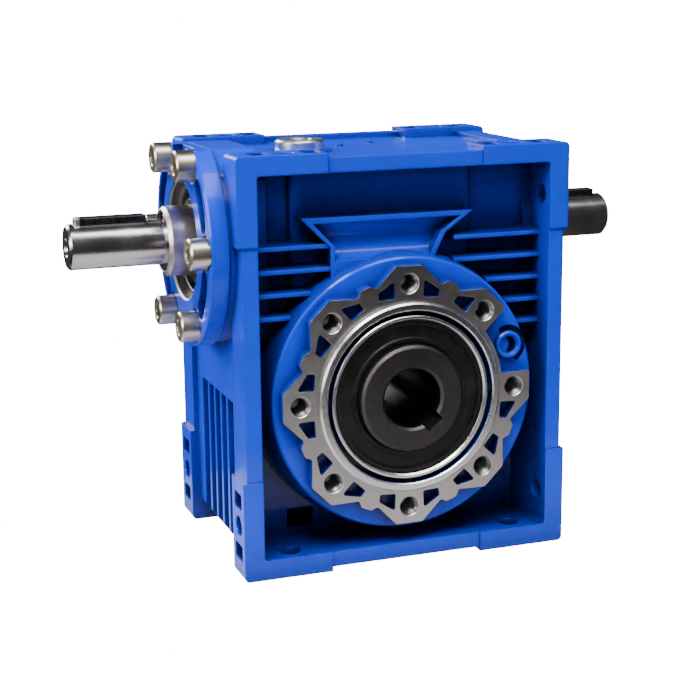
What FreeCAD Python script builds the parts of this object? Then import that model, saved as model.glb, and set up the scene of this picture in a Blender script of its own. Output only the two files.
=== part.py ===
import FreeCAD, Part
import math
import os

# Right-angle worm gearbox, size 63. X runs along the worm shaft, Y along the
# hollow output shaft, Z up. The origin is the middle of the output bore.
os.makedirs("parts", exist_ok=True)

V = FreeCAD.Vector
X = V(1, 0, 0)
Y = V(0, 1, 0)
Z = V(0, 0, 1)

# Gear set
MODULE = 3.15
WHEEL_TEETH = 30
WORM_PITCH_R = 15.75
WHEEL_PITCH_R = MODULE * WHEEL_TEETH / 2
CENTRES = WORM_PITCH_R + WHEEL_PITCH_R
LEAD = math.pi * MODULE
PRESSURE = math.radians(20)
BACKLASH = 0.5
DEDENDUM = 1.2 * MODULE
RIM_HALF = 13.0
RIM_BORE_R = 38.0
THREAD_HALF = 29.0

# Housing envelope
HALF_LENGTH = 72.0
TOP = 102.0
BASE = -72.0
FRAME_Y = 51.0
RAIL_DEPTH = 17.0
RAIL_Y = FRAME_Y - RAIL_DEPTH
OPEN_X = 63.5
OPEN_TOP = 94.0
OPEN_BASE = -63.5
PAD_STEP = 1.8
FACE_STEP = 0.6
CORE_X = 68.0
CORE_TOP = 98.0
CORE_BASE = -66.5
FLOOR_Y = 20.0
UPPER_FLOOR_Y = 30.0
WORM_BOX_Y = 33.0
WORM_BOX_BASE = 24.0
WORM_BOX_LEFT = -45.0
WORM_BOX_RIGHT = 35.0

# Foot, top and side bolt holes
FOOT_X = 50.0
FOOT_Y = 42.5
SIDE_Z = (-50.0, 80.0)
FOOT_HOLE_R = 4.5
TOP_HOLE_R = 4.25
SIDE_HOLE_R = 4.25

# Output side
FLANGE_Y = 51.5
FLANGE_BACK = 46.5
PILOT_R = 40.0
PILOT_Y = 54.5
HUB_Y = 56.0
BOLT_CIRCLE_R = 47.5
FLANGE_HOLE_R = 4.0
FLANGE_HOLE_DEPTH = 14.0
SUMP_R = 52.5
COVER_Y = 34.0
COVER_R = 62.5
COVER_SCREW_R = 57.6
BEARING_O_R = 37.5
HUB_R = 22.5
BORE_R = 12.5
KEY_TOP = 15.8
KEYWAY_ANGLE = -50.0

# Input side
INPUT_R = 9.5
INPUT_LENGTH = 40.0
SHOULDER_LEFT = -90.0
SHOULDER_RIGHT = 75.0
SEAT_R = 12.5
NECK_R = 15.0
BEARING_I_R = 26.0
DISC_R = 44.6
DISC_BACK = -73.4
DISC_FACE = -81.4
DISC_SEAT = -80.8
DISC_BOLT_R = 38.0
PLUG_X = 46.6
PLUG_Z = 17.2
FILLER_X = -29.0
FILLER_R = 10.5
PLUG_THREAD_R = 7.3
LEVEL_Z = -6.0
DRAIN_Y = 6.0
LEFT_BEARING = (-77.4, -62.4)
RIGHT_BEARING = (48.0, 63.0)
LEFT_KEY = (-126.5, -97.0)
RIGHT_KEY = (81.0, 110.0)


def box(x0, x1, y0, y1, z0, z1):
    return Part.makeBox(x1 - x0, y1 - y0, z1 - z0, V(x0, y0, z0))


def cyl(r, start, along, length):
    return Part.makeCylinder(r, length, start, along)


def ring(r_in, r_out, start, along, length):
    return cyl(r_out, start, along, length).cut(cyl(r_in, start, along, length))


def cone(r0, r1, start, along, length):
    return Part.makeCone(r0, r1, length, start, along)


def fuse(shapes):
    body = shapes[0]
    if len(shapes) > 1:
        body = body.multiFuse(shapes[1:])
    return body.removeSplitter()


def group(shapes):
    return Part.makeCompound(shapes)


def export(shape, name):
    shape.exportStep("parts/" + name + ".step")


def turned(profile, base, axis):
    """Solid of revolution. The profile is a list of (radius, distance along the axis)."""
    side = Z if axis != Z else X
    points = [base + side * r + axis * s for r, s in profile]
    face = Part.Face(Part.makePolygon(points + [points[0]]))
    return face.revolve(base, axis, 360)


def prism_y(points, y0, y1):
    """Straight-sided solid from an outline in the XZ plane."""
    wire = Part.makePolygon([V(x, y0, z) for x, z in points + [points[0]]])
    return Part.Face(wire).extrude(V(0, y1 - y0, 0))


def about_y(shape, degrees):
    """Turns from +X toward +Z for a positive angle."""
    turned_shape = shape.copy()
    turned_shape.rotate(V(0, 0, 0), Y, -degrees)
    return turned_shape


def about_worm(shape, degrees):
    """Turns about the worm axis, from +Y toward +Z for a positive angle."""
    turned_shape = shape.copy()
    turned_shape.rotate(V(0, 0, CENTRES), X, degrees)
    return turned_shape


def mirror_y(shape):
    return shape.mirror(V(0, 0, 0), Y)


def round_edges(shape, radius, keep):
    """Rounds the edges for which keep(edge) is true."""
    edges = [e for e in shape.Edges if keep(e)]
    return shape.makeFillet(radius, edges) if edges else shape


def parallel(edge, axis):
    if not isinstance(edge.Curve, Part.Line):
        return False
    return abs(abs(edge.tangentAt(edge.FirstParameter).dot(axis)) - 1) < 1e-6


# ---------------------------------------------------------------- housing


def front_frame():
    """Front frame ring, with its four sides set back between the corner pads."""
    y0 = -FRAME_Y
    plate = box(-HALF_LENGTH, HALF_LENGTH, y0, -RAIL_Y, BASE, TOP)
    plate = round_edges(plate, 2.0, lambda e: parallel(e, Y))
    inner = HALF_LENGTH - PAD_STEP
    cuts = [
        box(-HALF_LENGTH - 1, -inner, y0 - 1, 0, -30, 66),
        box(inner, HALF_LENGTH + 1, y0 - 1, 0, -30, 66),
        box(-34, 33, y0 - 1, 0, TOP - PAD_STEP, TOP + 1),
        box(-34, 33, -43, 0, CORE_TOP, TOP + 1),
        box(-34, 33, y0 - 1, 0, BASE - 1, BASE + PAD_STEP),
        box(-34, 33, y0 - 1, y0 + FACE_STEP, BASE - 1, TOP + 1),
        box(-80, 80, y0 - 1, y0 + FACE_STEP, -30, 66),
    ]
    return plate.cut(Part.makeCompound(cuts)).removeSplitter()


def pad_pockets(hole, along, inward):
    """The two cored pockets either side of one frame bolt hole."""
    cuts = []
    for k in (-11.0, 11.0):
        mouth = hole + along * k - inward
        half = along * 3.4 + Y * 4.9
        a = mouth - half
        b = mouth + half + inward * 6.5
        x0, x1 = sorted((a.x, b.x))
        z0, z1 = sorted((a.z, b.z))
        block = box(x0, x1, a.y, b.y, z0, z1)
        cuts.append(round_edges(block, 1.2, lambda e: parallel(e, inward)))
    return cuts


def frame_hole(mouth, inward, radius):
    """Bolt hole through a frame side, with its lead-in and its two cored pockets."""
    along = X if abs(inward.z) > 0.5 else Z
    hole = cyl(radius, mouth - inward, inward, 10.5)
    lead_in = cone(radius + 0.8, radius, mouth - inward * 0.4, inward, 0.8)
    return [hole, lead_in] + pad_pockets(mouth, along, inward)


def frame_holes():
    """Bolt holes and cored pockets of the feet, the top and the two sides."""
    cuts = []
    for y in (-FOOT_Y, FOOT_Y):
        for x in (-FOOT_X, FOOT_X):
            cuts += frame_hole(V(x, y, BASE), Z, FOOT_HOLE_R)
            cuts += frame_hole(V(x, y, TOP), -Z, TOP_HOLE_R)
        for z in SIDE_Z:
            cuts += frame_hole(V(HALF_LENGTH, y, z), -X, SIDE_HOLE_R)
        cuts += frame_hole(V(-HALF_LENGTH, y, SIDE_Z[0]), X, SIDE_HOLE_R)
    return cuts


def lobed_outline():
    """Outline of the output flange: a flat-ended lobe at each bolt, a bump between."""
    points = []
    for k in range(8):
        a = math.radians(45 * k)
        for u, v in ((5.9, 54.8), (-5.9, 54.8)):
            x = v * math.cos(a) + u * math.sin(a)
            z = v * math.sin(a) - u * math.cos(a)
            points.append((x, z))
        for r, off in ((48.3, 17.2), (50.4, 19.9), (50.4, 25.1), (48.3, 27.8)):
            b = a + math.radians(off)
            points.append((r * math.cos(b), r * math.sin(b)))
    return points


def flange_pocket(sign):
    """One cored pocket beside the bolt hole of the lobe on +X."""
    corners = [(48.9, 6.5), (44.2, 13.6), (41.0, 13.2), (41.4, 6.2)]
    points = [(x, sign * z) for x, z in corners]
    block = prism_y(points, -FLANGE_Y - 1, -FLANGE_BACK)
    return round_edges(block, 0.8, lambda e: parallel(e, Y))


def flange_relief():
    """Notch between the lobes at 0 and 45 degrees, where the plug boss stands."""
    wedge = prism_y([(15.6, 6.3), (80, 6.3), (80, 70.7)], -FLANGE_Y - 1, -FLANGE_BACK - 0.3)
    return wedge.cut(cyl(42.3, V(0, -60, 0), Y, 30))


def output_flange(relieved):
    """Machined output face, made for the -Y side, open through its middle."""
    plate = prism_y(lobed_outline(), -FLANGE_Y, -FLANGE_BACK + 0.5)
    plate = round_edges(plate, 1.1, lambda e: parallel(e, Y))
    start = V(0, -PILOT_Y, 0)
    pilot = turned(
        [(36.5, 0.5), (37.0, 0), (39.2, 0), (PILOT_R, 0.8), (PILOT_R, 8.0), (36.5, 8.0)],
        start,
        Y,
    )
    inner = turned(
        [(32.5, 1.4), (33.3, 0.6), (34.2, 0.6), (34.6, 1.0), (34.6, 8.0), (32.5, 8.0)],
        start,
        Y,
    )
    cuts = [cyl(37.0, V(0, -PILOT_Y, 0), Y, 12)]
    for k in range(8):
        if not (relieved and k == 0):
            cuts.append(about_y(flange_pocket(1), 45 * k))
        if not (relieved and k == 1):
            cuts.append(about_y(flange_pocket(-1), 45 * k))
    if relieved:
        cuts.append(flange_relief())
    plate = plate.cut(Part.makeCompound(cuts))
    tabs = [about_y(box(34.0, 37.0, -50.5, -46.0, -1.6, 1.6), 90 * k) for k in range(4)]
    return [plate, pilot, inner] + tabs


def flange_holes():
    """Tapped holes of the output flange, with a small lead-in and the drill's cone."""
    mouth = V(BOLT_CIRCLE_R, -FLANGE_Y, 0)
    hole = cyl(FLANGE_HOLE_R, mouth - Y, Y, FLANGE_HOLE_DEPTH + 1)
    lead_in = cone(FLANGE_HOLE_R + 0.8, FLANGE_HOLE_R, mouth - Y * 0.4, Y, 0.8)
    drill_tip = cone(FLANGE_HOLE_R, 0, mouth + Y * FLANGE_HOLE_DEPTH, Y, 2.2)
    cuts = []
    for k in range(8):
        cuts += [about_y(s, 45 * k) for s in (hole, lead_in, drill_tip)]
    return cuts


def front_boss():
    """Drafted boss that carries the front output bearing."""
    profile = [(0, 0), (61.0, 0), (60.4, 15.0), (57.8, 28.5), (57.0, 29.3), (0, 29.3)]
    return turned(profile, V(0, -17.5, 0), -Y)


def prism_x(points, x0, x1):
    """Straight-sided solid from an outline in the YZ plane."""
    wire = Part.makePolygon([V(x0, y, z) for y, z in points + [points[0]]])
    return Part.Face(wire).extrude(V(x1 - x0, 0, 0))


def fin(x0, x1, z):
    """One drafted cooling fin on the upper front wall."""
    root = 1 - UPPER_FLOOR_Y
    return prism_x([(-41.5, z - 0.9), (-41.5, z + 0.9), (root, z + 2.0), (root, z - 2.0)], x0, x1)


def front_fins():
    """Cooling fins either side of the boss."""
    fins = []
    for z in (63.5, 54.0, 44.5, 35.0, 25.6):
        inner = max(math.sqrt(max(59.0**2 - z**2, 0)), 24.0)
        fins.append(fin(inner, OPEN_X, z))
        if z > 30:
            fins.append(fin(-OPEN_X, -max(inner, 30.5), z))
    return fins


def front_neck():
    """Neck from the boss up to the worm box, scooped out along its front."""
    outline = [(-43.0, 75.2), (-30.5, 62.8), (-30.5, 45)]
    outline += [(14.0, 45), (15.5, 57.0), (20.0, 66.0), (32.5, 74.8)]
    inner = [(-38.5, 73.4), (-28.5, 63.0), (-28.5, 50)]
    inner += [(12.3, 50), (13.3, 57.4), (17.6, 66.4), (27.5, 73.2)]
    neck = prism_y(outline, -42, 1 - WORM_BOX_Y)
    scoop = cyl(8.0, V(-60, -44.0, 65.0), X, 120)
    return neck.cut(scoop.common(prism_y(inner, -60, -20)))


def side_hollow():
    """Finned hollow in the +X side wall of the core, drafted at its top and foot."""
    outline = [(69, -3.5), (64, 0), (64, CORE_BASE - 1), (69, CORE_BASE - 1)]
    hollow = prism_y(outline, -24.5, 24.5)
    ribs = [box(63.5, 70, y - 1.4, y + 1.4, CORE_BASE - 2, 1) for y in (-14.7, -4.9, 4.9, 14.7)]
    return hollow.cut(Part.makeCompound(ribs))


def core():
    """Closed middle of the casting, with a finned hollow in each side wall."""
    body = box(-CORE_X, CORE_X, -RAIL_Y, RAIL_Y, CORE_BASE, CORE_TOP)
    foot = prism_y([(69, -60), (64, CORE_BASE - 1), (69, CORE_BASE - 1)], -RAIL_Y, RAIL_Y)
    right = [side_hollow(), foot]
    left = [s.mirror(V(0, 0, 0), X) for s in right]
    return body.cut(Part.makeCompound(right + left))


def recess():
    """The hollow inside the front frame: shallow above, deep beside the sump below."""
    plan = [(OPEN_X, -FRAME_Y - 1), (OPEN_X, -40), (60.5, -23), (57.5, -FLOOR_Y)]
    plan += [(-x, y) for x, y in reversed(plan)]
    wire = Part.makePolygon([V(x, y, OPEN_BASE) for x, y in plan + [plan[0]]])
    lower = Part.Face(wire).extrude(V(0, 0, WORM_BOX_BASE - OPEN_BASE))
    upper = box(-OPEN_X, OPEN_X, -FRAME_Y - 1, -UPPER_FLOOR_Y, WORM_BOX_BASE - 10, OPEN_TOP)
    worm_box = box(WORM_BOX_LEFT, WORM_BOX_RIGHT, -WORM_BOX_Y, 0, 0, OPEN_TOP + 5)
    worm_box = round_edges(worm_box, 2.5, lambda e: parallel(e, Z))
    shape = lower.fuse(upper.cut(worm_box)).removeSplitter()
    return round_edges(shape, 1.2, lambda e: parallel(e, Y) and e.Length > 9)


def worm_axis(x):
    return V(x, 0, CENTRES)


def bosses():
    """Turned and cast bosses added to the frame and core."""
    seat = cyl(43.6, worm_axis(DISC_BACK + 0.4), X, 9)
    left = cyl(43.6, worm_axis(DISC_BACK + 0.4), X, 18)
    right = cyl(33.0, worm_axis(60), X, 12)
    return [
        seat.common(box(-80, 0, -FRAME_Y, FRAME_Y, 10, TOP)),
        left.common(box(-80, 0, -RAIL_Y, RAIL_Y, 10, TOP)),
        right.common(box(0, 80, -RAIL_Y, RAIL_Y, 10, CORE_TOP + 2)),
        cyl(13.5, V(FILLER_X, 0, 90), Z, 8.5),
        cyl(9.0, V(60, 0, LEVEL_Z), X, 10.0),
        cyl(9.0, V(0, DRAIN_Y, -70.0), Z, 10.0),
        cyl(COVER_R, V(0, 18, 0), Y, COVER_Y - 18),
        cyl(58.5, V(0, -FLOOR_Y - 1, 0), Y, FLOOR_Y + COVER_Y),
        box(57.5, CORE_X, -RAIL_Y, RAIL_Y, CORE_TOP - 4, CORE_TOP + 2),
        cyl(1.6, V(-7.0, 12.0, CORE_TOP - 1), Z, 1.9),
        cyl(1.6, V(10.0, 20.0, CORE_TOP - 1), Z, 1.9),
        front_boss(),
    ]


def plug_boss():
    """Small boss beside the front flange, with a shallow socket in its end."""
    outline = [(0, 0), (6.6, 0), (6.0, 21.0), (5.4, 21.6), (0, 21.6)]
    boss = turned(outline, V(PLUG_X, -27, PLUG_Z), -Y)
    boss = boss.cut(cyl(3.6, V(PLUG_X, -60, PLUG_Z), Y, 22))
    return boss.cut(cone(4.6, 3.6, V(PLUG_X, -48.7, PLUG_Z), Y, 1.3))


def bores():
    """Bearing seats, gear spaces and plug holes of the casting."""
    return [
        cyl(SUMP_R, V(0, -FLOOR_Y - 2, 0), Y, 70),
        box(-44, 42, -25, 25, 36, 89),
        cyl(BEARING_I_R, worm_axis(-80), X, 80 - 54.8),
        cyl(22.0, worm_axis(-56), X, 20),
        cyl(BEARING_I_R, worm_axis(RIGHT_BEARING[0]), X, 40),
        cyl(22.0, worm_axis(40), X, 20),
        cyl(BEARING_I_R + 1.0, worm_axis(63.1), X, 2.1),
        cyl(BEARING_O_R, V(0, -44, 0), Y, 30),
        cyl(32.5, V(0, -60, 0), Y, 30),
        cyl(PLUG_THREAD_R, V(FILLER_X, 0, 80), Z, 30),
        cyl(5.0, V(45, 0, LEVEL_Z), X, 30),
        cyl(5.0, V(0, DRAIN_Y, -75), Z, 30),
        box(-44.0, -32.4, -FLOOR_Y - 1, 8, -61.5, -53.5),
    ]


def cover_screw_holes():
    """Tapped holes for the input cover and the side cover, and the dowel holes."""
    input_hole = cyl(4.0, worm_axis(-75) + V(0, DISC_BOLT_R, 0), X, 10.4)
    side_hole = cyl(2.5, V(COVER_SCREW_R, COVER_Y - 14, 0), Y, 20)
    dowel_hole = cyl(2.0, V(COVER_SCREW_R, COVER_Y - 6, 0), Y, 20)
    cuts = [about_worm(input_hole, 60 * k) for k in range(6)]
    cuts += [about_y(side_hole, 22.5 + 45 * k) for k in range(8)]
    return cuts + [about_y(dowel_hole, k) for k in (0, 180)]


def housing():
    front = front_frame()
    body = fuse([front, mirror_y(front), core()])
    body = body.cut(Part.makeCompound([recess(), mirror_y(recess())]))
    clear_of_cover = cyl(COVER_R + 1.0, V(0, 0, 0), Y, 60)
    rear_fins = [mirror_y(f).cut(clear_of_cover) for f in front_fins()]
    body = fuse([body, front_neck()] + bosses() + front_fins() + rear_fins)
    body = body.cut(cyl(8.4, V(PLUG_X, -FLANGE_BACK - 6, PLUG_Z), Y, 9))
    body = fuse([body, plug_boss()] + output_flange(True))
    cuts = bores() + flange_holes() + frame_holes() + cover_screw_holes()
    return body.cut(Part.makeCompound(cuts)).removeSplitter()


# ---------------------------------------------------------------- covers


def side_cover():
    """Bolted rear cover: spigot, bearing seat and a second output flange."""
    y0 = COVER_Y + 0.5
    rim = COVER_R - 0.3
    plate = turned([(0, 0), (rim, 0), (rim, 4.2), (rim - 0.8, 5.0), (0, 5.0)], V(0, y0, 0), Y)
    spigot = cyl(SUMP_R - 0.05, V(0, 23, 0), Y, 13)
    boss = turned([(0, 0), (50.6, 0), (49.4, 9.0), (0, 9.0)], V(0, y0 + 3.5, 0), Y)
    flange = [mirror_y(s) for s in output_flange(False)]
    body = fuse([plate, spigot, boss] + flange)
    cuts = [
        cyl(BEARING_O_R, V(0, 14, 0), Y, 30),
        cyl(32.5, V(0, 10, 0), Y, 60),
        cone(47.0, 43.0, V(0, 22.5, 0), Y, 5.5),
    ]
    cuts += [mirror_y(s) for s in flange_holes()]
    for k in range(8):
        cuts.append(about_y(cyl(2.75, V(COVER_SCREW_R, 30, 0), Y, 20), 22.5 + 45 * k))
    for k in (0, 180):
        cuts.append(about_y(cyl(2.0, V(COVER_SCREW_R, 30, 0), Y, 20), k))
    return body.cut(Part.makeCompound(cuts)).removeSplitter()


def side_cover_gasket():
    sheet = ring(SUMP_R + 0.3, COVER_R - 0.5, V(0, COVER_Y, 0), Y, 0.5)
    holes = [about_y(cyl(2.75, V(COVER_SCREW_R, 30, 0), Y, 9), 22.5 + 45 * k) for k in range(8)]
    holes += [about_y(cyl(2.1, V(COVER_SCREW_R, 30, 0), Y, 9), k) for k in (0, 180)]
    return sheet.cut(Part.makeCompound(holes))


def hexagon(across, start, along, length):
    """Hexagonal prism of the given width across flats."""
    side = Z if abs(along.z) < 0.5 else X
    third = along.cross(side)
    r = across / math.sqrt(3)
    corners = []
    for k in range(6):
        a = math.radians(60 * k)
        corners.append(start + side * (r * math.cos(a)) + third * (r * math.sin(a)))
    return Part.Face(Part.makePolygon(corners + [corners[0]])).extrude(along * length)


def cap_screw(seat, along, head_r, head_h, shank_r, length, socket):
    """Socket-head cap screw. The seat is under the head and the shank goes along the axis."""
    outline = [
        (0, -head_h),
        (head_r - 0.7, -head_h),
        (head_r, -head_h + 0.7),
        (head_r, 0),
        (shank_r, 0),
        (shank_r, length - 1.0),
        (shank_r - 1.0, length),
        (0, length),
    ]
    body = turned(outline, seat, along)
    top = seat - along * (head_h + 0.1)
    body = body.cut(hexagon(socket, top, along, head_h * 0.55))
    return body.cut(cone(socket * 0.62, socket * 0.5, top, along, 0.6))


def side_cover_screws():
    seat = V(COVER_SCREW_R, COVER_Y + 5.5, 0)
    screw = cap_screw(seat, -Y, 4.25, 5.0, 2.45, 17.0, 4.0)
    return group([about_y(screw, 22.5 + 45 * k) for k in range(8)])


def cover_dowels():
    pin = turned(
        [(0, 0), (1.6, 0), (2.0, 0.6), (2.0, 9.4), (1.6, 10.0), (0, 10.0)],
        V(COVER_SCREW_R, COVER_Y - 5.5, 0),
        Y,
    )
    return group([about_y(pin, k) for k in (0, 180)])


def kidney(mid_r, half_w, half_angle, x0, depth):
    """Kidney-shaped cutter on the worm axis, centred on +Y."""
    arc = ring(mid_r - half_w, mid_r + half_w, worm_axis(x0), X, depth)
    reach = mid_r * 2
    a = math.radians(half_angle)
    far = reach * math.cos(a)
    wide = reach * math.sin(a)
    points = [V(x0, y, CENTRES + z) for y, z in ((0, 0), (far, -wide), (far, wide))]
    wedge = Part.Face(Part.makePolygon(points + [points[0]])).extrude(V(depth, 0, 0))
    shapes = [arc.common(wedge)]
    for s in (-1, 1):
        end = cyl(half_w, worm_axis(x0) + V(0, mid_r, 0), X, depth)
        shapes.append(about_worm(end, s * half_angle))
    return fuse(shapes)


def input_cover():
    """Round cover that holds the left worm bearing, trimmed level with the top frame."""
    length = DISC_BACK - DISC_FACE
    disc = turned(
        [(0, 0), (DISC_R - 1.0, 0), (DISC_R, 1.0), (DISC_R, length), (0, length)],
        worm_axis(DISC_FACE),
        X,
    )
    disc = disc.common(box(-90, 0, -60, 60, 0, TOP))
    cuts = [
        cyl(BEARING_I_R, worm_axis(LEFT_BEARING[0]), X, 20),
        cone(25.4, 24.6, worm_axis(DISC_FACE), X, 0.8),
        cyl(24.6, worm_axis(DISC_FACE - 1), X, 20),
    ]
    for k in range(6):
        cuts.append(about_worm(cyl(4.25, worm_axis(-90) + V(0, DISC_BOLT_R, 0), X, 30), 60 * k))
        cuts.append(about_worm(cyl(7.3, worm_axis(-90) + V(0, DISC_BOLT_R, 0), X, 90 + DISC_SEAT), 60 * k))
        cuts.append(about_worm(kidney(36.6, 4.1, 12.0, DISC_FACE - 1, 5.0), 60 * k + 30))
    for cut in cuts:
        disc = disc.cut(cut)
    return disc.removeSplitter()


def input_cover_gasket():
    sheet = ring(BEARING_I_R + 0.3, 43.4, worm_axis(DISC_BACK), X, 0.4)
    sheet = sheet.common(box(-90, 0, -60, 60, 0, TOP))
    hole = cyl(4.25, worm_axis(-80) + V(0, DISC_BOLT_R, 0), X, 20)
    return sheet.cut(Part.makeCompound([about_worm(hole, 60 * k) for k in range(6)]))


def input_cover_screws():
    seat = worm_axis(DISC_SEAT) + V(0, DISC_BOLT_R, 0)
    screw = cap_screw(seat, X, 6.4, 8.0, 3.9, 16.0, 6.0)
    return group([about_worm(screw, 60 * k) for k in range(6)])


# ---------------------------------------------------------------- seals, plugs, rings


def lip_seal(r_in, r_out, width, start, inward):
    """Shaft seal: flat cased face outside, stepped toward a thin lip at the shaft."""
    step = r_in + (r_out - r_in) * 0.22
    outline = [
        (r_in, 1.2),
        (r_in + 0.9, 0.6),
        (step, 0.6),
        (step + 0.6, 1.3),
        (r_out - 2.2, 1.3),
        (r_out - 1.8, 0),
        (r_out - 0.5, 0),
        (r_out, 0.5),
        (r_out, width),
        (r_out - 1.4, width),
        (r_out - 1.4, 2.6),
        (step + 1.2, 2.6),
        (step + 0.4, width - 0.8),
        (r_in + 0.6, width - 0.8),
        (r_in, width * 0.55),
    ]
    return turned(outline, start, inward)


def hex_plug(start, inward, r, length, socket):
    """Headless plug with a hexagon socket, flush with its boss."""
    body = turned([(0, 0), (r - 0.6, 0), (r, 0.6), (r, length), (0, length)], start, inward)
    return body.cut(hexagon(socket, start - inward, inward, 1 + length * 0.55))


def filler_plug():
    """Flanged oil plug on the top, with a deep hexagon socket."""
    z = CORE_TOP + 1.3
    r = PLUG_THREAD_R - 0.1
    head = [(0, 3.7), (FILLER_R - 0.8, 3.7), (FILLER_R, 2.9), (FILLER_R, 0)]
    thread = [(r, 0), (r, -10.0), (r - 1.0, -11.0), (0, -11.0)]
    body = turned(head + thread, V(FILLER_X, 0, z), Z)
    body = body.cut(hexagon(8.0, V(FILLER_X, 0, z - 4.0), Z, 12))
    return body.cut(cone(4.4, 5.4, V(FILLER_X, 0, z + 2.9), Z, 0.9))


def filler_washer():
    return ring(PLUG_THREAD_R + 0.2, FILLER_R + 0.3, V(FILLER_X, 0, CORE_TOP + 0.5), Z, 0.8)


def bearing_circlip():
    """Internal retaining ring outboard of the right worm bearing."""
    body = ring(23.6, 26.9, worm_axis(63.3), X, 1.7)
    ears = []
    for s in (-1, 1):
        ear = cyl(3.0, worm_axis(63.3) + V(0, 23.6, 0), X, 1.7)
        ears.append(about_worm(ear, 90 + 9 * s))
    body = fuse([body] + ears)
    body = body.common(cyl(26.9, worm_axis(60), X, 10))
    gap = box(60, 68, -2.2, 2.2, CENTRES + 15, CENTRES + 30)
    body = body.cut(gap)
    for s in (-1, 1):
        hole = cyl(1.2, worm_axis(60) + V(0, 22.8, 0), X, 10)
        body = body.cut(about_worm(hole, 90 + 9 * s))
    return body


# ---------------------------------------------------------------- ball bearings


class Bearing:
    """Deep-groove ball bearing. The start is one side face and the axis runs along its width."""

    def __init__(self, r_in, r_out, width, ball_r, count, start, along):
        self.r_in = r_in
        self.r_out = r_out
        self.width = width
        self.ball_r = ball_r
        self.count = count
        self.start = start
        self.along = along
        self.pitch = (r_in + r_out) / 2
        self.mid = start + along * (width / 2)

    def groove(self):
        return Part.makeTorus(self.pitch, self.ball_r + 0.06, self.mid, self.along)

    def outer(self):
        inside = self.pitch + self.ball_r * 0.56
        w = self.width
        outline = [
            (inside, 0.3),
            (inside + 0.3, 0),
            (self.r_out - 0.8, 0),
            (self.r_out, 0.8),
            (self.r_out, w - 0.8),
            (self.r_out - 0.8, w),
            (inside + 0.3, w),
            (inside, w - 0.3),
        ]
        return turned(outline, self.start, self.along).cut(self.groove())

    def inner(self):
        outside = self.pitch - self.ball_r * 0.56
        w = self.width
        outline = [
            (self.r_in, 0.8),
            (self.r_in + 0.8, 0),
            (outside - 0.3, 0),
            (outside, 0.3),
            (outside, w - 0.3),
            (outside - 0.3, w),
            (self.r_in + 0.8, w),
            (self.r_in, w - 0.8),
        ]
        return turned(outline, self.start, self.along).cut(self.groove())

    def spot(self, k):
        """Centre of one ball."""
        side = Z if abs(self.along.z) < 0.5 else X
        third = self.along.cross(side)
        a = 2 * math.pi * k / self.count
        return self.mid + side * (self.pitch * math.cos(a)) + third * (self.pitch * math.sin(a))

    def balls(self):
        return group([Part.makeSphere(self.ball_r, self.spot(k)) for k in range(self.count)])

    def cage(self):
        """Ribbon cage: a thin band that swells round every ball."""
        shell = self.band(self.ball_r + 1.2)
        cups = []
        pockets = []
        for k in range(self.count):
            out = self.spot(k) - self.mid
            out.normalize()
            foot = self.mid + out * (self.pitch - 3.0)
            cups.append(cyl(self.ball_r + 1.1, foot, out, 6.0))
            pockets.append(cyl(self.ball_r + 0.2, foot, out, 6.0))
        body = self.band(self.ball_r * 0.42)
        body = body.multiFuse([cup.common(shell) for cup in cups])
        return body.cut(Part.makeCompound(pockets)).removeSplitter()

    def band(self, half):
        base = self.mid - self.along * half
        return ring(self.pitch - 1.3, self.pitch + 1.3, base, self.along, 2 * half)


# ---------------------------------------------------------------- output shaft and wheel


def lock_pins():
    """Axial pins across the joint of hub and rim."""
    pin = cyl(2.0, V(RIM_BORE_R, -RIM_HALF, 0), Y, 11)
    return [about_y(pin, 60 * k + 30) for k in range(6)]


def output_hub():
    """Hollow output shaft with its bearing seats and the disc that carries the rim."""
    end = HUB_Y
    outline = [
        (BORE_R, -end + 1.2),
        (BORE_R + 1.2, -end),
        (HUB_R - 1.2, -end),
        (HUB_R, -end + 1.2),
        (HUB_R, -28.0),
        (26.6, -28.0),
        (27.4, -27.2),
        (27.4, -RIM_HALF + 2.5),
        (33.5, -RIM_HALF + 1.0),
        (RIM_BORE_R, -RIM_HALF + 1.0),
    ]
    outline += [(r, -y) for r, y in reversed(outline)]
    body = turned(outline, V(0, 0, 0), Y)
    key = box(0, KEY_TOP, -end - 1, end + 1, -4.0, 4.0)
    cuts = [about_y(key, KEYWAY_ANGLE)]
    for k in range(6):
        hole = cyl(3.6, V(33.0, -30, 0), Y, 60)
        cuts.append(about_y(hole, 60 * k))
    return body.cut(Part.makeCompound(cuts)).cut(Part.makeCompound(lock_pins()))


def involute(base_r, r):
    return math.sqrt((r / base_r) ** 2 - 1) - math.acos(base_r / r)


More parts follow.
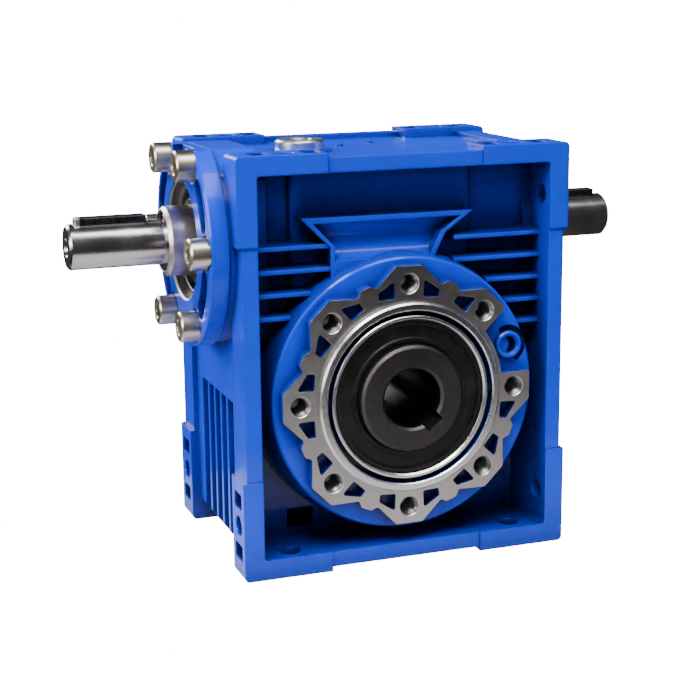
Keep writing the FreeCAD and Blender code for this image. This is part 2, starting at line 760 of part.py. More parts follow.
def tooth_outline():
    """Closed outline of the wheel in the XZ plane, with a tooth gap centred on +Z."""
    base_r = WHEEL_PITCH_R * math.cos(PRESSURE)
    tip_r = WHEEL_PITCH_R + MODULE
    root_r = WHEEL_PITCH_R - DEDENDUM
    half_tooth = (LEAD / 2 - BACKLASH / 2) / 2 / WHEEL_PITCH_R
    low_r = max(base_r + 0.05, root_r)
    mid_r = (low_r + tip_r) / 2

    def flank(r):
        return half_tooth + involute(base_r, WHEEL_PITCH_R) - involute(base_r, r)

    def at(r, angle):
        return V(r * math.sin(angle), 0, r * math.cos(angle))

    edges = []
    step = 2 * math.pi / WHEEL_TEETH
    for k in range(WHEEL_TEETH):
        c = step * (k + 0.5)
        left = [at(r, c - flank(r)) for r in (low_r, mid_r, tip_r)]
        right = [at(r, c + flank(r)) for r in (tip_r, mid_r, low_r)]
        foot_in = at(root_r, c - flank(low_r) * 1.06)
        foot_out = at(root_r, c + flank(low_r) * 1.06)
        gap_next = c + step - flank(low_r) * 1.06
        edges.append(Part.makeLine(foot_in, left[0]))
        edges.append(Part.Arc(left[0], left[1], left[2]).toShape())
        edges.append(Part.Arc(left[2], at(tip_r, c), right[0]).toShape())
        edges.append(Part.Arc(right[0], right[1], right[2]).toShape())
        edges.append(Part.makeLine(right[2], foot_out))
        middle = at(root_r, (c + flank(low_r) * 1.06 + gap_next) / 2)
        edges.append(Part.Arc(foot_out, middle, at(root_r, gap_next)).toShape())
    return Part.Wire(edges)


def worm_wheel():
    """Bronze rim. Its teeth lean at the worm's lead angle."""
    lean = math.degrees(RIM_HALF * (LEAD / (2 * math.pi * WORM_PITCH_R)) / WHEEL_PITCH_R)
    ends = []
    for s in (-1, 1):
        wire = tooth_outline()
        wire.rotate(V(0, 0, 0), Y, s * lean)
        wire.translate(V(0, s * RIM_HALF, 0))
        ends.append(wire)
    gear = Part.makeLoft(ends, True, True)
    tip_r = WHEEL_PITCH_R + MODULE
    blank = turned(
        [
            (RIM_BORE_R, -RIM_HALF),
            (tip_r - 2.6, -RIM_HALF),
            (tip_r + 0.5, -RIM_HALF + 3.1),
            (tip_r + 0.5, RIM_HALF - 3.1),
            (tip_r - 2.6, RIM_HALF),
            (RIM_BORE_R, RIM_HALF),
        ],
        V(0, 0, 0),
        Y,
    )
    return gear.common(blank).cut(Part.makeCompound(lock_pins()))


# ---------------------------------------------------------------- worm shaft


def worm_thread():
    """One right-hand start, centred on the gap at the top of the wheel."""
    root_r = WORM_PITCH_R - DEDENDUM
    tip_r = WORM_PITCH_R + MODULE
    slope = math.tan(PRESSURE)
    half = (LEAD / 2 - BACKLASH / 2) / 2
    half_tip = half - MODULE * slope
    low_r = root_r - 0.6
    half_low = half + (WORM_PITCH_R - low_r) * slope
    turns = 8
    x0 = -turns * LEAD / 2
    helix = Part.makeHelix(LEAD, turns * LEAD, WORM_PITCH_R)
    profile = Part.makePolygon(
        [
            V(low_r, 0, -half_low),
            V(tip_r, 0, -half_tip),
            V(tip_r, 0, half_tip),
            V(low_r, 0, half_low),
            V(low_r, 0, -half_low),
        ]
    )
    thread = Part.Wire(helix).makePipeShell([profile], True, True)
    thread.rotate(V(0, 0, 0), Y, 90)
    thread.translate(V(x0, 0, CENTRES))
    return thread, x0


def keyway(x0, x1, run_out):
    """Milled slot on the top of the shaft, ending in the run of the disc cutter."""
    slot = box(x0, x1, -3.0, 3.0, CENTRES + 6.0, CENTRES + 20)
    cutter_r = 22.0
    end = x1 if run_out > 0 else x0
    centre = V(end, -3.0, CENTRES + 6.0 + cutter_r)
    return slot.fuse(cyl(cutter_r, centre, Y, 6.0))


def shaft_key(x0, x1):
    block = box(x0, x1, -3.0, 3.0, CENTRES + 6.0, CENTRES + 12.0)
    return block.makeChamfer(0.35, block.Edges)


def worm_shaft():
    """Worm with its bearing seats and the two keyed input ends."""
    root_r = WORM_PITCH_R - DEDENDUM
    tip_left = SHOULDER_LEFT - INPUT_LENGTH
    tip_right = SHOULDER_RIGHT + INPUT_LENGTH
    outline = [
        (0, tip_left),
        (INPUT_R - 1.0, tip_left),
        (INPUT_R, tip_left + 1.0),
        (INPUT_R, SHOULDER_LEFT),
        (SEAT_R - 0.5, SHOULDER_LEFT),
        (SEAT_R, SHOULDER_LEFT + 0.5),
        (SEAT_R, LEFT_BEARING[1]),
        (NECK_R, LEFT_BEARING[1]),
        (NECK_R, -36.0),
        (root_r, -33.0),
        (root_r, 33.0),
        (NECK_R, 36.0),
        (NECK_R, RIGHT_BEARING[0]),
        (SEAT_R, RIGHT_BEARING[0]),
        (SEAT_R, SHOULDER_RIGHT - 0.5),
        (SEAT_R - 0.5, SHOULDER_RIGHT),
        (INPUT_R, SHOULDER_RIGHT),
        (INPUT_R, tip_right - 1.0),
        (INPUT_R - 1.0, tip_right),
        (0, tip_right),
    ]
    body = turned(outline, V(0, 0, CENTRES), X)
    thread, x0 = worm_thread()
    half = THREAD_HALF
    ends = [(0, -half - 4), (root_r, -half - 4), (19.5, -half), (19.5, half)]
    limit = turned(ends + [(root_r, half + 4), (0, half + 4)], V(0, 0, CENTRES), X)
    body = body.fuse(thread.common(limit))
    for tip, inward in ((tip_left, X), (tip_right, -X)):
        body = body.cut(cyl(2.5, worm_axis(tip) - inward, inward, 17))
        body = body.cut(cone(4.2, 2.5, worm_axis(tip) - inward * 0.01, inward, 2.6))
    body = body.cut(keyway(LEFT_KEY[0] - 0.4, LEFT_KEY[1] + 0.4, 1))
    return body.cut(keyway(RIGHT_KEY[0] - 0.4, RIGHT_KEY[1] + 0.4, -1))


def worm_collar():
    """Sleeve between the left worm bearing and the shaft shoulder."""
    return turned(
        [(SEAT_R, -77.4), (14.6, -77.4), (14.6, -88.6), (13.2, -90.0), (SEAT_R, -90.0)],
        V(0, 0, CENTRES),
        X,
    )


OUT_FRONT = Bearing(HUB_R, BEARING_O_R, 16.0, 4.37, 13, V(0, -44, 0), Y)
OUT_REAR = Bearing(HUB_R, BEARING_O_R, 16.0, 4.37, 13, V(0, 28, 0), Y)
IN_LEFT = Bearing(SEAT_R, BEARING_I_R, 15.0, 3.97, 9, worm_axis(LEFT_BEARING[0]), X)
IN_RIGHT = Bearing(SEAT_R, BEARING_I_R, 15.0, 3.97, 9, worm_axis(RIGHT_BEARING[0]), X)

export(housing(), "housing")
export(side_cover(), "side_cover")
export(side_cover_gasket(), "side_cover_gasket")
export(side_cover_screws(), "side_cover_screws")
export(cover_dowels(), "cover_dowels")
export(input_cover(), "input_cover")
export(input_cover_gasket(), "input_cover_gasket")
export(input_cover_screws(), "input_cover_screws")
export(lip_seal(NECK_R + 0.05, BEARING_I_R, 7.0, worm_axis(-61.8), X), "worm_seal_left")
export(lip_seal(SEAT_R + 0.05, BEARING_I_R, 6.7, worm_axis(72.0), -X), "worm_seal_right")
export(lip_seal(HUB_R + 0.05, 32.5, 8.0, V(0, -52.6, 0), Y), "output_seal_front")
export(lip_seal(HUB_R + 0.05, 32.5, 8.0, V(0, 52.6, 0), -Y), "output_seal_rear")
export(filler_plug(), "filler_plug")
export(filler_washer(), "filler_washer")
export(hex_plug(V(70.0, 0, LEVEL_Z), -X, 5.0, 8.0, 5.0), "level_plug")
export(hex_plug(V(0, DRAIN_Y, -70.0), Z, 5.0, 8.0, 5.0), "drain_plug")
export(bearing_circlip(), "bearing_circlip")
for label, bearing in (
    ("output_bearing_front", OUT_FRONT),
    ("output_bearing_rear", OUT_REAR),
    ("worm_bearing_left", IN_LEFT),
    ("worm_bearing_right", IN_RIGHT),
):
    export(bearing.outer(), label + "_outer")
    export(bearing.inner(), label + "_inner")
    export(bearing.balls(), label + "_balls")
    export(bearing.cage(), label + "_cage")
export(output_hub(), "output_hub")
export(worm_wheel(), "worm_wheel")
export(group(lock_pins()), "rim_lock_pins")
export(worm_shaft(), "worm_shaft")
export(worm_collar(), "worm_collar")
export(shaft_key(*LEFT_KEY), "worm_key_left")
export(shaft_key(*RIGHT_KEY), "worm_key_right")
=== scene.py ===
import math
import bpy
import bmesh
from mathutils import Matrix, Vector


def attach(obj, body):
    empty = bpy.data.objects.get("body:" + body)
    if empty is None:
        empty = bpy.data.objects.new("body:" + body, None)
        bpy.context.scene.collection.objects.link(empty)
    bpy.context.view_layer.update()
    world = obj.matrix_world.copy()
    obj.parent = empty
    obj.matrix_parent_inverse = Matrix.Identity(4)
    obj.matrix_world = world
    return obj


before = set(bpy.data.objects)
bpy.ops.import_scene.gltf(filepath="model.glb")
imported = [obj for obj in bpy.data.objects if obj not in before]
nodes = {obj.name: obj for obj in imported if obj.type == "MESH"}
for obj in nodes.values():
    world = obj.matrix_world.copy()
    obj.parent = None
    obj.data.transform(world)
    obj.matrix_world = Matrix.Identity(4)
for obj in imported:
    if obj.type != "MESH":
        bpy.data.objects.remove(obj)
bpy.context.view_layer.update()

# Heights and radii of the CAD model that the materials and threads follow, in metres.
CENTRES = 0.063
BOLT_CIRCLE_R = 0.0475
FLANGE_FACE = 0.0514
FLANGE_BACK = 0.026
FLANGE_OUTER_R = 0.0560
PILOT_R = 0.0398
PILOT_RING_Y = 0.0516
PILOT_RING_R = 0.0402
SEAL_SEAT_R = 0.0326
TAPPED_HOLE_R = 0.0049
WORM_SEAT_R = 0.0272
WORM_SEAT_X = 0.045
COVER_BORE_R = 0.0262
COVER_INNER_Y = 0.0338
HUB_BORE_R = 0.0162
HUB_BORE_Y = 0.0549
KEY_END_X = (0.1243, 0.1247)
FLOOR_Z = -0.0722

# ---------------------------------------------------------------- node helpers


class Tree:
    """Short-hand for building a material's node tree."""

    def __init__(self, name):
        self.mat = bpy.data.materials.new(name)
        self.mat.use_nodes = True
        self.tree = self.mat.node_tree
        self.tree.nodes.clear()
        self.out = self.tree.nodes.new("ShaderNodeOutputMaterial")
        self.bsdf = self.tree.nodes.new("ShaderNodeBsdfPrincipled")
        self.join(self.bsdf.outputs[0], self.out.inputs[0])
        self.pos = self.node("ShaderNodeTexCoord").outputs["Object"]

    def node(self, kind, **values):
        n = self.tree.nodes.new(kind)
        for key, value in values.items():
            setattr(n, key, value)
        return n

    def join(self, a, b):
        self.tree.links.new(a, b)

    def feed(self, socket, value):
        if isinstance(value, bpy.types.NodeSocket):
            self.join(value, socket)
        else:
            socket.default_value = value

    def math(self, op, a, b=0.0):
        n = self.node("ShaderNodeMath", operation=op)
        self.feed(n.inputs[0], a)
        self.feed(n.inputs[1], b)
        return n.outputs[0]

    def stretch(self, scale):
        n = self.node("ShaderNodeMapping")
        self.join(self.pos, n.inputs[0])
        n.inputs["Scale"].default_value = scale
        return n.outputs[0]

    def noise(self, scale, detail=3.0, rough=0.5, vector=None):
        n = self.node("ShaderNodeTexNoise")
        self.join(vector or self.pos, n.inputs["Vector"])
        n.inputs["Scale"].default_value = scale
        n.inputs["Detail"].default_value = detail
        n.inputs["Roughness"].default_value = rough
        return n.outputs["Fac"]

    def spread(self, value, low, high, to_low=0.0, to_high=1.0):
        """Value rescaled from one range to another and held inside it."""
        n = self.node("ShaderNodeMapRange")
        self.feed(n.inputs["Value"], value)
        ends = (("From Min", low), ("From Max", high), ("To Min", to_low), ("To Max", to_high))
        for name, end in ends:
            n.inputs[name].default_value = end
        return n.outputs[0]

    def mix(self, fac, a, b):
        n = self.node("ShaderNodeMix", data_type="RGBA")
        self.feed(n.inputs["Factor"], fac)
        for socket, value in ((n.inputs[6], a), (n.inputs[7], b)):
            if isinstance(value, bpy.types.NodeSocket):
                self.join(value, socket)
            else:
                socket.default_value = (*value, 1.0)
        return n.outputs[2]

    def axis_radius(self, axis, centre_z=0.0):
        """Distance from a line along X or Y."""
        n = self.node("ShaderNodeSeparateXYZ")
        self.join(self.pos, n.inputs[0])
        flat = n.outputs["X"] if axis == "Y" else n.outputs["Y"]
        up = self.math("SUBTRACT", n.outputs["Z"], centre_z)
        total = self.math("ADD", self.math("MULTIPLY", flat, flat), self.math("MULTIPLY", up, up))
        return self.math("SQRT", total)

    def bevel(self, radius):
        n = self.node("ShaderNodeBevel", samples=4)
        n.inputs["Radius"].default_value = radius
        return n.outputs[0]

    def bump(self, height, strength, distance, normal=None):
        """Surface relief; distance is in metres."""
        n = self.node("ShaderNodeBump")
        n.inputs["Strength"].default_value = strength
        n.inputs["Distance"].default_value = distance
        self.join(height, n.inputs["Height"])
        if normal is not None:
            self.join(normal, n.inputs["Normal"])
        return n.outputs[0]

    def set(self, **values):
        """Fill the shader's sockets; an underscore in a name stands for a space."""
        for key, value in values.items():
            socket = self.bsdf.inputs[key.replace("_", " ")]
            if isinstance(value, bpy.types.NodeSocket):
                self.join(value, socket)
            else:
                socket.default_value = (*value, 1.0) if isinstance(value, tuple) else value
        return self.mat


def cavity(t, distance):
    """How open a place is, from 0 in a narrow corner to 1 in the open, used as the mask for painted shade.
    """
    n = t.node("ShaderNodeAmbientOcclusion", samples=4)
    n.inputs["Distance"].default_value = distance
    return n.outputs["AO"]


# ---------------------------------------------------------------- materials


def blue_enamel():
    """Glossy blue paint with a faint orange-peel skin, and painted shade darkening its corners and recesses.
    """
    t = Tree("blue_enamel")
    tone = t.spread(t.noise(28.0, 4.0), 0.3, 0.7)
    colour = t.mix(tone, (0.0004, 0.050, 0.86), (0.0006, 0.060, 0.96))
    # Painted shade: the paint is darkened in narrow corners, and darker still deep in the recesses, where
    # shade falls.
    corner_shade = t.spread(cavity(t, 0.006), 0.30, 0.95, 0.80, 0.0)
    recess_shade = t.spread(cavity(t, 0.055), 0.22, 0.78, 0.96, 0.0)
    colour = t.mix(corner_shade, colour, (0.0006, 0.014, 0.23))
    colour = t.mix(recess_shade, colour, (0.0005, 0.004, 0.055))
    skin = t.noise(900.0, 3.0, 0.55)
    peel = t.noise(230.0, 2.0, 0.45)
    height = t.math("ADD", t.math("MULTIPLY", skin, 0.30), peel)
    normal = t.bump(height, 0.14, 0.0004, t.bevel(0.0011))
    rough = t.spread(t.noise(150.0, 3.0), 0.3, 0.7, 0.30, 0.38)
    t.set(Base_Color=colour, Roughness=rough, Normal=normal, IOR=1.28)
    return t.set(Coat_Weight=0.30, Coat_Roughness=0.06)


def round_axis(t, axis, centre_z):
    """Direction of the tool marks round an axis."""
    shift = t.node("ShaderNodeVectorMath", operation="SUBTRACT")
    t.join(t.pos, shift.inputs[0])
    shift.inputs[1].default_value = (0.0, 0.0, centre_z)
    cross = t.node("ShaderNodeVectorMath", operation="CROSS_PRODUCT")
    t.join(shift.outputs[0], cross.inputs[0])
    cross.inputs[1].default_value = (0.0, 1.0, 0.0) if axis == "Y" else (1.0, 0.0, 0.0)
    unit = t.node("ShaderNodeVectorMath", operation="NORMALIZE")
    t.join(cross.outputs[0], unit.inputs[0])
    return unit.outputs[0]


def turned_metal(name, light, dark, axis, centre_z, pitch, rough, depth=0.10, metallic=1.0, round_by=0.0005):
    """Metal with fine tool marks round an axis."""
    t = Tree(name)
    t.join(round_axis(t, axis, centre_z), t.bsdf.inputs["Tangent"])
    t.bsdf.inputs["Anisotropic"].default_value = 0.65
    r = t.axis_radius(axis, centre_z)
    wander = t.math("MULTIPLY", t.noise(60.0, 2.0), pitch * 2.5)
    groove = t.math("SINE", t.math("MULTIPLY", t.math("ADD", r, wander), 2 * math.pi / pitch))
    streak = t.noise(420.0, 4.0, 0.6)
    tone = t.spread(t.math("ADD", t.math("MULTIPLY", groove, 0.12), streak), 0.0, 1.0)
    colour = t.mix(tone, dark, light)
    normal = t.bump(groove, depth, pitch * 0.35, t.bevel(round_by))
    roughness = t.spread(streak, 0.3, 0.7, rough * 0.9, rough * 1.15)
    return t.set(Base_Color=colour, Metallic=metallic, Roughness=roughness, Normal=normal)


def ground_shaft():
    """Polished steel with very fine grinding marks round it."""
    t = Tree("ground_shaft")
    t.join(round_axis(t, "X", CENTRES), t.bsdf.inputs["Tangent"])
    fine = t.noise(1.0, 3.0, 0.6, t.stretch((6000.0, 120.0, 120.0)))
    cloud = t.noise(90.0, 3.0, 0.5)
    tone = t.spread(t.math("ADD", t.math("MULTIPLY", fine, 0.4), cloud), 0.55, 0.85)
    colour = t.mix(tone, (0.44, 0.40, 0.42), (0.53, 0.49, 0.51))
    normal = t.bump(fine, 0.05, 0.00004, t.bevel(0.0005))
    rough = t.spread(tone, 0.0, 1.0, 0.19, 0.23)
    return t.set(Base_Color=colour, Metallic=1.0, Roughness=rough, Normal=normal, Anisotropic=0.3)


def dark_key():
    """Dark drawn key steel, light grey at its rounded ends."""
    t = Tree("dark_key")
    n = t.node("ShaderNodeSeparateXYZ")
    t.join(t.pos, n.inputs[0])
    cloud = t.noise(500.0, 5.0, 0.6)
    colour = t.mix(t.spread(cloud, 0.3, 0.7), (0.030, 0.030, 0.035), (0.075, 0.075, 0.085))
    # The key's rounded ends are painted light grey.
    end = t.spread(t.math("ABSOLUTE", n.outputs["X"]), *KEY_END_X)
    colour = t.mix(end, colour, (0.66, 0.65, 0.66))
    rough = t.spread(cloud, 0.3, 0.7, 0.32, 0.46)
    return t.set(Base_Color=colour, Metallic=1.0, Roughness=rough, Normal=t.bevel(0.0006))


def plated(name, light, dark, rough, scale=300.0, round_by=0.0005):
    """Plain metal with a cloudy tone and a fine grain."""
    t = Tree(name)
    cloud = t.noise(scale, 5.0, 0.6)
    colour = t.mix(t.spread(cloud, 0.3, 0.7), dark, light)
    grain = t.noise(5000.0, 2.0)
    normal = t.bump(grain, 0.05, 0.00003, t.bevel(round_by))
    roughness = t.spread(cloud, 0.3, 0.7, rough * 0.9, rough * 1.2)
    return t.set(Base_Color=colour, Metallic=1.0, Roughness=roughness, Normal=normal)


def rubber():
    """Black seal rubber with fine rings and a little dust."""
    t = Tree("seal_rubber")
    r = t.axis_radius("Y")
    ridge = t.math("SINE", t.math("MULTIPLY", r, 2 * math.pi / 0.0011))
    dust = t.noise(120.0, 5.0, 0.65)
    colour = t.mix(t.spread(dust, 0.42, 0.8), (0.005, 0.0045, 0.005), (0.016, 0.014, 0.015))
    height = t.math("ADD", t.math("MULTIPLY", ridge, 0.25), t.noise(2600.0, 2.0))
    normal = t.bump(height, 0.18, 0.00015, t.bevel(0.0003))
    rough = t.spread(dust, 0.3, 0.8, 0.36, 0.6)
    return t.set(Base_Color=colour, Roughness=rough, Normal=normal, Specular_IOR_Level=0.3)


def fibre():
    """Speckled compressed fibre of the gaskets."""
    t = Tree("gasket_fibre")
    speck = t.noise(2200.0, 5.0, 0.7)
    colour = t.mix(t.spread(speck, 0.35, 0.65), (0.10, 0.085, 0.065), (0.24, 0.20, 0.15))
    rough = t.spread(speck, 0.3, 0.7, 0.75, 0.95)
    return t.set(Base_Color=colour, Roughness=rough, Normal=t.bump(speck, 0.4, 0.0001))


BLUE = blue_enamel()
FLANGE = turned_metal(
    "machined_flange", (0.49, 0.455, 0.445), (0.37, 0.345, 0.335), "Y", 0.0, 0.00045, 0.33, 0.08, 1.0, 0.0002
)
TURNED = turned_metal("machined_ring", (0.76, 0.74, 0.73), (0.62, 0.60, 0.59), "Y", 0.0, 0.0003, 0.22, 0.06)
HOLE = plated("drilled_aluminium", (0.56, 0.55, 0.56), (0.44, 0.43, 0.44), 0.33, 300.0, 0.0002)
THREAD = plated("tapped_thread", (0.40, 0.39, 0.40), (0.28, 0.27, 0.28), 0.34, 600.0, 0.0002)
BORE = turned_metal("bored_seat", (0.38, 0.37, 0.38), (0.26, 0.25, 0.26), "X", CENTRES, 0.0004, 0.33)
HUB = turned_metal(
    "blackened_hub", (0.075, 0.066, 0.072), (0.042, 0.037, 0.041), "Y", 0.0, 0.0005, 0.36, 0.12, 0.85
)
HUB_BORE = plated("oiled_bore", (0.075, 0.066, 0.072), (0.022, 0.020, 0.023), 0.33, 160.0)
SHAFT = ground_shaft()
COLLAR = turned_metal(
    "turned_collar", (0.60, 0.54, 0.555), (0.50, 0.45, 0.46), "X", CENTRES, 0.0006, 0.33, 0.02
)
SCREW = plated("zinc_screw", (0.70, 0.65, 0.52), (0.54, 0.50, 0.39), 0.32, 130.0)
PLUG = plated("bright_plug", (0.80, 0.81, 0.83), (0.68, 0.69, 0.71), 0.32, 130.0)
BEARING = turned_metal(
    "input_bearing_ring", (0.30, 0.28, 0.285), (0.17, 0.16, 0.165), "X", CENTRES, 0.0004, 0.33
)
BEARING_Y = turned_metal(
    "output_bearing_ring", (0.66, 0.66, 0.67), (0.45, 0.45, 0.46), "Y", 0.0, 0.0004, 0.20
)
BALL = plated("bearing_ball", (0.74, 0.75, 0.77), (0.60, 0.61, 0.63), 0.10, 600.0, 0.0001)
CAGE = plated("pressed_cage", (0.30, 0.275, 0.28), (0.14, 0.13, 0.135), 0.33, 700.0)
KEY = dark_key()
CIRCLIP = plated("circlip_steel", (0.105, 0.105, 0.115), (0.045, 0.045, 0.050), 0.36, 500.0)
RUBBER = rubber()
GASKET = fibre()
WASHER = plated("aluminium_washer", (0.78, 0.78, 0.80), (0.62, 0.62, 0.64), 0.34, 350.0)
BRONZE = turned_metal("bronze_rim", (0.72, 0.46, 0.20), (0.50, 0.30, 0.12), "Y", 0.0, 0.0006, 0.33)


def paint(node, *materials):
    """Give a CAD node its materials, in slot order."""
    mesh = nodes[node].data
    mesh.materials.clear()
    for m in materials:
        mesh.materials.append(m)


def smooth(obj, degrees=32.0):
    """Smooth shading with sharp edges kept where faces meet steeply."""
    mesh = obj.data
    for p in mesh.polygons:
        p.use_smooth = True
    bm = bmesh.new()
    bm.from_mesh(mesh)
    limit = math.radians(degrees)
    for e in bm.edges:
        sharp = len(e.link_faces) != 2 or e.calc_face_angle(0.0) > limit
        e.smooth = not sharp
    bm.to_mesh(mesh)
    bm.free()


def radii(mesh, polygon, centre=(0.0, 0.0), axis="Y"):
    """Distances of a polygon's corners from a line along X or Y."""
    values = []
    for k in polygon.vertices:
        co = mesh.vertices[k].co
        flat = co.x if axis == "Y" else co.y
        values.append(math.hypot(flat - centre[0], co.z - centre[1]))
    return values


def flange_hole(c):
    """Centre of the flange bolt hole nearest to a point."""
    a = round(math.atan2(c.z, c.x) / (math.pi / 4)) * math.pi / 4
    return (BOLT_CIRCLE_R * math.cos(a), BOLT_CIRCLE_R * math.sin(a))


def output_face_slot(mesh, polygon, side):
    """0 painted, 1 faced flange, 2 turned ring, 3 tapped hole."""
    depth = polygon.center.y * side
    if depth < FLANGE_BACK:
        return 0
    flat = abs(polygon.normal.y) > 0.95
    r = radii(mesh, polygon)
    mean = sum(r) / len(r)
    hole = max(radii(mesh, polygon, flange_hole(polygon.center)))
    on_face = flat and depth > FLANGE_FACE
    if hole < TAPPED_HOLE_R and not on_face:
        return 3
    if on_face and PILOT_R < mean < FLANGE_OUTER_R:
        return 1
    in_seat = max(r) < SEAL_SEAT_R
    on_ring = depth > PILOT_RING_Y and mean < PILOT_RING_R
    return 2 if in_seat or on_ring else 0


def paint_faces(name, materials, choose):
    """Give each face of a CAD node the material slot that choose returns."""
    paint(name, *materials)
    mesh = nodes[name].data
    for p in mesh.polygons:
        p.material_index = choose(mesh, p)


def housing_slot(mesh, p):
    """As output_face_slot, and 4 in the bored seats of the worm shaft."""
    if abs(p.center.x) > WORM_SEAT_X and max(radii(mesh, p, (0.0, CENTRES), "X")) < WORM_SEAT_R:
        return 4
    return output_face_slot(mesh, p, -1)


def cover_slot(mesh, p):
    """As output_face_slot, with the cover's inner side bare."""
    inside = 2 if p.center.y < COVER_INNER_Y else 0
    return output_face_slot(mesh, p, 1) or inside


def input_cover_slot(mesh, p):
    """0 painted, 1 bored."""
    return 1 if max(radii(mesh, p, (0.0, CENTRES), "X")) < COVER_BORE_R else 0


def hub_slot(mesh, p):
    """0 outside, 1 in the bore and keyway."""
    in_bore = max(radii(mesh, p)) < HUB_BORE_R and abs(p.center.y) < HUB_BORE_Y
    return 1 if in_bore and abs(p.normal.y) < 0.5 else 0


def paint_housing():
    paint_faces("housing", (BLUE, FLANGE, TURNED, HOLE, BORE), housing_slot)
    paint_faces("side_cover", (BLUE, FLANGE, TURNED, HOLE), cover_slot)
    paint_faces("input_cover", (BLUE, BORE), input_cover_slot)
    paint_faces("output_hub", (HUB, HUB_BORE), hub_slot)


paint_housing()
for name, material in (
    ("side_cover_gasket", GASKET),
    ("input_cover_gasket", GASKET),
    ("side_cover_screws", SCREW),
    ("input_cover_screws", SCREW),
    ("cover_dowels", BALL),
    ("worm_seal_left", RUBBER),
    ("worm_seal_right", RUBBER),
    ("output_seal_front", RUBBER),
    ("output_seal_rear", RUBBER),
    ("filler_plug", PLUG),
    ("filler_washer", WASHER),
    ("level_plug", PLUG),
    ("drain_plug", PLUG),
    ("bearing_circlip", CIRCLIP),
    ("worm_wheel", BRONZE),
    ("rim_lock_pins", BALL),
    ("worm_shaft", SHAFT),
    ("worm_collar", COLLAR),
    ("worm_key_left", KEY),
    ("worm_key_right", KEY),
):
    paint(name, material)
for bearing, ring in (
    ("output_bearing_front", BEARING_Y),
    ("output_bearing_rear", BEARING_Y),
    ("worm_bearing_left", BEARING),
    ("worm_bearing_right", BEARING),
):
    paint(bearing + "_outer", ring)
    paint(bearing + "_inner", ring)
    paint(bearing + "_balls", BALL)
    paint(bearing + "_cage", CAGE)
for obj in nodes.values():
    smooth(obj)


# ---------------------------------------------------------------- threads


def thread_verts(x, z, side, pitch, depth, steps, rows):
    """Points of one tapped thread, running in from a flange face along Y."""
    crest, root, mouth = 0.0034, 0.00397, 0.0512
    verts = []
    for row in range(rows + 1):
        s = depth * row / rows
        for k in range(steps):
            a = 2 * math.pi * k / steps
            phase = s / pitch - k / steps
            ridge = abs(2 * (phase - math.floor(phase)) - 1)
            lead_in = min(1.0, s / pitch)
            r = root - (root - crest) * lead_in * min(1.0, 1.25 * ridge)
            verts.append((x + r * math.cos(a), side * (mouth - s), z + r * math.sin(a)))
    return verts


def flange_threads(name, side):
    """M8 threads in the eight holes of one output flange."""
    pitch, depth, steps, rows = 0.00125, 0.0130, 28, 64
    verts, faces = [], []
    for hole in range(8):
        a = math.radians(45 * hole)
        first = len(verts)
        x, z = BOLT_CIRCLE_R * math.cos(a), BOLT_CIRCLE_R * math.sin(a)
        verts += thread_verts(x, z, side, pitch, depth, steps, rows)
        for row in range(rows):
            for k in range(steps):
                p = first + row * steps + k
                q = first + row * steps + (k + 1) % steps
                quad = (p, q, q + steps, p + steps)
                faces.append(quad if side < 0 else quad[::-1])
    obj = new_object(name, verts, faces, THREAD)
    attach(obj, "casing")


# ---------------------------------------------------------------- studio


def new_object(name, verts, faces, material):
    """Smooth-shaded mesh object with one material."""
    mesh = bpy.data.meshes.new(name)
    mesh.from_pydata(verts, [], faces)
    mesh.materials.append(material)
    obj = bpy.data.objects.new(name, mesh)
    bpy.context.collection.objects.link(obj)
    for p in mesh.polygons:
        p.use_smooth = True
    return obj


def lathe(name, profile, steps, material):
    """Surface turned about the Z axis from (radius, height) pairs."""
    verts = []
    for k in range(steps):
        a = 2 * math.pi * k / steps
        verts += [(r * math.cos(a), r * math.sin(a), z) for r, z in profile]
    n = len(profile)
    faces = []
    for k in range(steps):
        a, b = k * n, (k + 1) % steps * n
        faces += [(a + j, b + j, b + j + 1, a + j + 1) for j in range(n - 1)]
    return new_object(name, verts, faces, material)


def stage_material():
    """Glowing white of the studio sweep."""
    t = Tree("white_sweep")
    speck = t.noise(3.0, 2.0)
    colour = t.mix(speck, (0.78, 0.78, 0.78), (0.84, 0.84, 0.84))
    return t.set(Base_Color=colour, Roughness=0.8, Emission_Color=(1.0, 1.0, 1.0), Emission_Strength=17.0)


def sweep():
    """White floor that curves up into a wall all round, seen only by the camera."""
    flat, bend, height = 1.9, 0.8, 4.0
    profile = [(0.0, FLOOR_Z), (flat, FLOOR_Z)]
    for k in range(1, 13):
        a = math.radians(7.5 * k)
        profile.append((flat + bend * math.sin(a), FLOOR_Z + bend * (1 - math.cos(a))))
    profile.append((flat + bend, height))
    obj = lathe("sweep", profile, 64, stage_material())
    obj.visible_diffuse = False
    obj.visible_glossy = False
    obj.visible_shadow = False
    return obj


def table():
    """Pale table that lights the object from below, just over the sweep."""
    z = FLOOR_Z + 0.0001
    corners = [(-0.22, -0.22, z), (0.14, -0.22, z), (0.14, 0.10, z), (-0.22, 0.10, z)]
    t = Tree("table_white")
    speck = t.noise(6.0, 2.0)
    t.set(Base_Color=t.mix(speck, (0.46, 0.46, 0.46), (0.52, 0.52, 0.52)), Roughness=0.8)
    t.set(Emission_Color=(1.0, 0.98, 0.97), Emission_Strength=0.42)
    obj = new_object("table", corners, [(0, 1, 2, 3)], t.mat)
    obj.visible_camera = False
    return obj


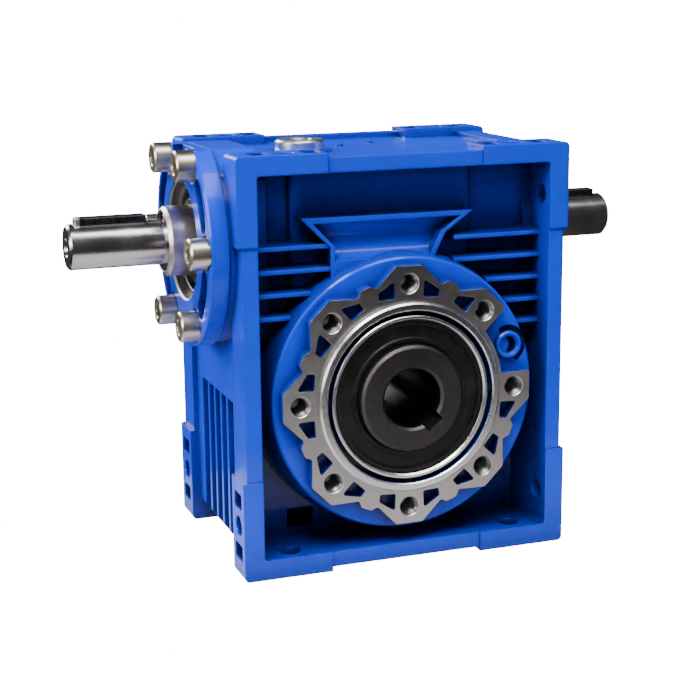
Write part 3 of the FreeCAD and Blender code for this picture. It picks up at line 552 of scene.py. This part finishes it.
def area(name, place, target, size, power):
    """Soft rectangular light in watts, aimed at a point."""
    data = bpy.data.lights.new(name, "AREA")
    data.shape = "RECTANGLE"
    data.size = size[0]
    data.size_y = size[1]
    data.energy = power
    obj = bpy.data.objects.new(name, data)
    obj.location = place
    obj.rotation_euler = (Vector(target) - Vector(place)).to_track_quat("-Z", "Y").to_euler()
    bpy.context.collection.objects.link(obj)


def camera():
    """Camera fitted to the frame's corners and the flange's bolt holes."""
    az, el, roll = math.radians(-19.574), math.radians(12.581), math.radians(-0.616)
    back = Vector((math.sin(az) * math.cos(el), -math.cos(az) * math.cos(el), math.sin(el)))
    right = (-back).cross(Vector((0, 0, 1))).normalized()
    up = right.cross(-back)
    right2 = math.cos(roll) * right + math.sin(roll) * up
    up2 = -math.sin(roll) * right + math.cos(roll) * up
    aim, distance = Vector((-0.012529, 0.0, 0.015009)), 0.687141
    data = bpy.data.cameras.new("camera")
    data.sensor_width = 36.0
    data.lens = 36.0 * 1566.066 / 677.0
    obj = bpy.data.objects.new("camera", data)
    rows = Matrix((right2, up2, back)).transposed().to_4x4()
    obj.matrix_world = Matrix.Translation(aim + back * distance) @ rows
    bpy.context.collection.objects.link(obj)
    bpy.context.scene.camera = obj


flange_threads("front_flange_threads", -1)
flange_threads("rear_flange_threads", 1)
sweep()
table()
world = bpy.data.worlds.new("studio")
world.use_nodes = True
world.node_tree.nodes["Background"].inputs[0].default_value = (1.0, 1.0, 1.0, 1.0)
world.node_tree.nodes["Background"].inputs[1].default_value = 0.05
bpy.context.scene.world = world
area("top", (0.26, -0.38, 1.00), (0, 0, 0.03), (0.45, 0.45), 5.5)
area("key", (-0.30, -0.52, 0.96), (0, 0, 0.02), (0.40, 0.40), 12.5)
area("front", (-0.35, -1.25, 0.45), (0, 0, 0.02), (0.5, 0.5), 1.0)
area("back", (-0.55, 1.10, 0.60), (0, 0, 0.02), (0.6, 0.6), 15.0)
area("left", (-0.98, -0.20, 0.36), (0, 0, 0.02), (0.4, 0.5), 8.0)
area("right", (0.9, -0.35, 0.25), (0, 0, 0.02), (0.25, 0.7), 0.7)
camera()
